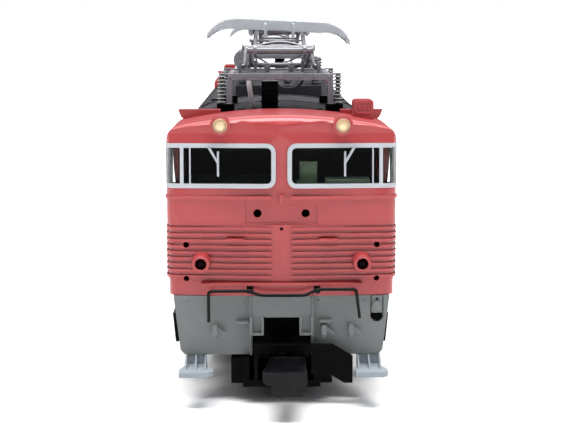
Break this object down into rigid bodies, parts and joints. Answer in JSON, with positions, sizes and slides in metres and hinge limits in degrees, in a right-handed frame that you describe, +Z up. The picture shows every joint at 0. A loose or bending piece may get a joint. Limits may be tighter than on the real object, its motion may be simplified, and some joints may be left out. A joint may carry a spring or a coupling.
{
  "type": "model electric locomotive",
  "caption": "Small-scale model of a box-cab electric locomotive on three bogies, with ribbed red body, grey end skirts, knuckle-style couplers and two folding pantographs on the roof.",
  "frame": {"origin": "middle of the wheelbase on the plane under the wheel flanges", "axes": "+Y along the locomotive from end A to end B, +Z up, +X to the right when looking along +Y"},
  "size_m": [0.0194, 0.1312, 0.0321],
  "materials": {
    "body_red": "satin rose-red paint over moulded plastic",
    "roof_grey": "matt dark grey",
    "chassis_black": "semi-gloss black",
    "weight_metal": "blackened die-cast metal",
    "skirt_grey": "matt grey",
    "step_grey": "matt light grey",
    "frame_silver": "silver paint",
    "window_glass": "clear moulded glazing",
    "headlight_lens": "warm clear lens",
    "tail_light_lens": "dark red lens",
    "interior_green": "matt pale green",
    "insulator_green": "glazed grey-green",
    "wheel_metal": "blackened metal",
    "pantograph_metal": "silver grey"
  },
  "bodies": {
    "locomotive": {"chassis_frame": "chassis_black", "motor_and_weight": "weight_metal", "cab_shell_a": "body_red", "cab_shell_b": "body_red", "side_left": "body_red", "side_right": "body_red", "roof_shell": "roof_grey", "roof_hood": "roof_grey", "high_voltage_gear": "pantograph_metal", "window_frames_a": "frame_silver", "window_frames_b": "frame_silver", "cab_glass_a": "window_glass", "cab_glass_b": "window_glass", "machine_room_glass": "window_glass", "headlight_lenses": "headlight_lens", "tail_light_lenses": "tail_light_lens", "wipers_a": "frame_silver", "wipers_b": "frame_silver", "cab_interior_a": "interior_green", "cab_interior_b": "interior_green", "whistle_covers": "body_red", "skirt_a": "skirt_grey", "skirt_b": "skirt_grey", "guard_plate_a": "chassis_black", "guard_plate_b": "chassis_black", "skirt_steps": "step_grey", "brake_cocks": "skirt_grey", "uncoupling_lever_a": "chassis_black", "uncoupling_lever_b": "chassis_black", "jumper_sockets": "skirt_grey", "cab_steps": "chassis_black", "equipment_boxes": "chassis_black", "coupler_pocket_a": "chassis_black", "coupler_pocket_b": "chassis_black", "insulators": "insulator_green", "pantograph_base_a": "pantograph_metal", "pantograph_base_b": "pantograph_metal"},
    "coupler_a": {"coupler_a": "chassis_black"},
    "coupler_b": {"coupler_b": "chassis_black"},
    "bogie_a": {"bogie_frame_a": "chassis_black"},
    "bogie_middle": {"bogie_frame_middle": "chassis_black"},
    "bogie_b": {"bogie_frame_b": "chassis_black"},
    "wheelset_1": {"wheelset_1": "wheel_metal"},
    "wheelset_2": {"wheelset_2": "wheel_metal"},
    "wheelset_3": {"wheelset_3": "wheel_metal"},
    "wheelset_4": {"wheelset_4": "wheel_metal"},
    "wheelset_5": {"wheelset_5": "wheel_metal"},
    "wheelset_6": {"wheelset_6": "wheel_metal"},
    "lower_arm_front_a": {"lower_arm_front_a": "pantograph_metal"},
    "upper_arm_front_a": {"upper_arm_front_a": "pantograph_metal"},
    "lower_arm_rear_a": {"lower_arm_rear_a": "pantograph_metal"},
    "upper_arm_rear_a": {"upper_arm_rear_a": "pantograph_metal"},
    "collector_head_a": {"collector_head_a": "pantograph_metal"},
    "lower_arm_front_b": {"lower_arm_front_b": "pantograph_metal"},
    "upper_arm_front_b": {"upper_arm_front_b": "pantograph_metal"},
    "lower_arm_rear_b": {"lower_arm_rear_b": "pantograph_metal"},
    "upper_arm_rear_b": {"upper_arm_rear_b": "pantograph_metal"},
    "collector_head_b": {"collector_head_b": "pantograph_metal"}
  },
  "joints": [
    {"name": "bogie_a_swivel", "type": "hinge", "parent": "locomotive", "child": "bogie_a", "pos_m": [0, -0.036, 0.0087], "axis": [0, 0, 1], "range_deg": [-7, 7]},
    {"name": "bogie_b_swivel", "type": "hinge", "parent": "locomotive", "child": "bogie_b", "pos_m": [0, 0.036, 0.0087], "axis": [0, 0, 1], "range_deg": [-7, 7]},
    {"name": "bogie_middle_shift", "type": "slide", "parent": "locomotive", "child": "bogie_middle", "axis": [1, 0, 0], "range_m": [-0.0015, 0.0015]},
    {"name": "wheelset_1_roll", "type": "hinge", "parent": "bogie_a", "child": "wheelset_1", "pos_m": [0, -0.04433, 0.00443], "axis": [1, 0, 0], "continuous": true},
    {"name": "wheelset_2_roll", "type": "hinge", "parent": "bogie_a", "child": "wheelset_2", "pos_m": [0, -0.02766, 0.00443], "axis": [1, 0, 0], "continuous": true},
    {"name": "wheelset_3_roll", "type": "hinge", "parent": "bogie_middle", "child": "wheelset_3", "pos_m": [0, -0.00834, 0.00443], "axis": [1, 0, 0], "continuous": true},
    {"name": "wheelset_4_roll", "type": "hinge", "parent": "bogie_middle", "child": "wheelset_4", "pos_m": [0, 0.00834, 0.00443], "axis": [1, 0, 0], "continuous": true},
    {"name": "wheelset_5_roll", "type": "hinge", "parent": "bogie_b", "child": "wheelset_5", "pos_m": [0, 0.02766, 0.00443], "axis": [1, 0, 0], "continuous": true},
    {"name": "wheelset_6_roll", "type": "hinge", "parent": "bogie_b", "child": "wheelset_6", "pos_m": [0, 0.04433, 0.00443], "axis": [1, 0, 0], "continuous": true},
    {"name": "coupler_a_swing", "type": "hinge", "parent": "locomotive", "child": "coupler_a", "pos_m": [0, -0.0574, 0.00325], "axis": [0, 0, 1], "range_deg": [-15, 9]},
    {"name": "coupler_b_swing", "type": "hinge", "parent": "locomotive", "child": "coupler_b", "pos_m": [0, 0.0574, 0.00325], "axis": [0, 0, 1], "range_deg": [-15, 9]},
    {"name": "pantograph_a_raise", "type": "hinge", "parent": "locomotive", "child": "lower_arm_front_a", "pos_m": [0, -0.0372, 0.0276], "axis": [-1, 0, 0], "range_deg": [-6, 38]},
    {"name": "pantograph_a_front_knee", "type": "hinge", "parent": "lower_arm_front_a", "child": "upper_arm_front_a", "pos_m": [0, -0.04636, 0.02922], "axis": [-1, 0, 0], "range_deg": [-76, 12]},
    {"name": "pantograph_a_head_level", "type": "hinge", "parent": "upper_arm_front_a", "child": "collector_head_a", "pos_m": [0, -0.0372, 0.03083], "axis": [-1, 0, 0], "range_deg": [-6, 38]},
    {"name": "pantograph_a_rear_raise", "type": "hinge", "parent": "locomotive", "child": "lower_arm_rear_a", "pos_m": [0, -0.0408, 0.0276], "axis": [-1, 0, 0], "range_deg": [-38, 6]},
    {"name": "pantograph_a_rear_knee", "type": "hinge", "parent": "lower_arm_rear_a", "child": "upper_arm_rear_a", "pos_m": [0, -0.03164, 0.02922], "axis": [-1, 0, 0], "range_deg": [-12, 76]},
    {"name": "pantograph_b_raise", "type": "hinge", "parent": "locomotive", "child": "lower_arm_front_b", "pos_m": [0, 0.0372, 0.0276], "axis": [1, 0, 0], "range_deg": [-6, 38]},
    {"name": "pantograph_b_front_knee", "type": "hinge", "parent": "lower_arm_front_b", "child": "upper_arm_front_b", "pos_m": [0, 0.04636, 0.02922], "axis": [1, 0, 0], "range_deg": [-76, 12]},
    {"name": "pantograph_b_head_level", "type": "hinge", "parent": "upper_arm_front_b", "child": "collector_head_b", "pos_m": [0, 0.0372, 0.03083], "axis": [1, 0, 0], "range_deg": [-6, 38]},
    {"name": "pantograph_b_rear_raise", "type": "hinge", "parent": "locomotive", "child": "lower_arm_rear_b", "pos_m": [0, 0.0408, 0.0276], "axis": [1, 0, 0], "range_deg": [-38, 6]},
    {"name": "pantograph_b_rear_knee", "type": "hinge", "parent": "lower_arm_rear_b", "child": "upper_arm_rear_b", "pos_m": [0, 0.03164, 0.02922], "axis": [1, 0, 0], "range_deg": [-12, 76]}
  ],
  "couplings": [
    {"joint": "pantograph_a_front_knee", "follows": "pantograph_a_raise", "ratio": -2},
    {"joint": "pantograph_a_head_level", "follows": "pantograph_a_raise", "ratio": 1},
    {"joint": "pantograph_a_rear_raise", "follows": "pantograph_a_raise", "ratio": -1},
    {"joint": "pantograph_a_rear_knee", "follows": "pantograph_a_raise", "ratio": 2},
    {"joint": "pantograph_b_front_knee", "follows": "pantograph_b_raise", "ratio": -2},
    {"joint": "pantograph_b_head_level", "follows": "pantograph_b_raise", "ratio": 1},
    {"joint": "pantograph_b_rear_raise", "follows": "pantograph_b_raise", "ratio": -1},
    {"joint": "pantograph_b_rear_knee", "follows": "pantograph_b_raise", "ratio": 2}
  ]
}
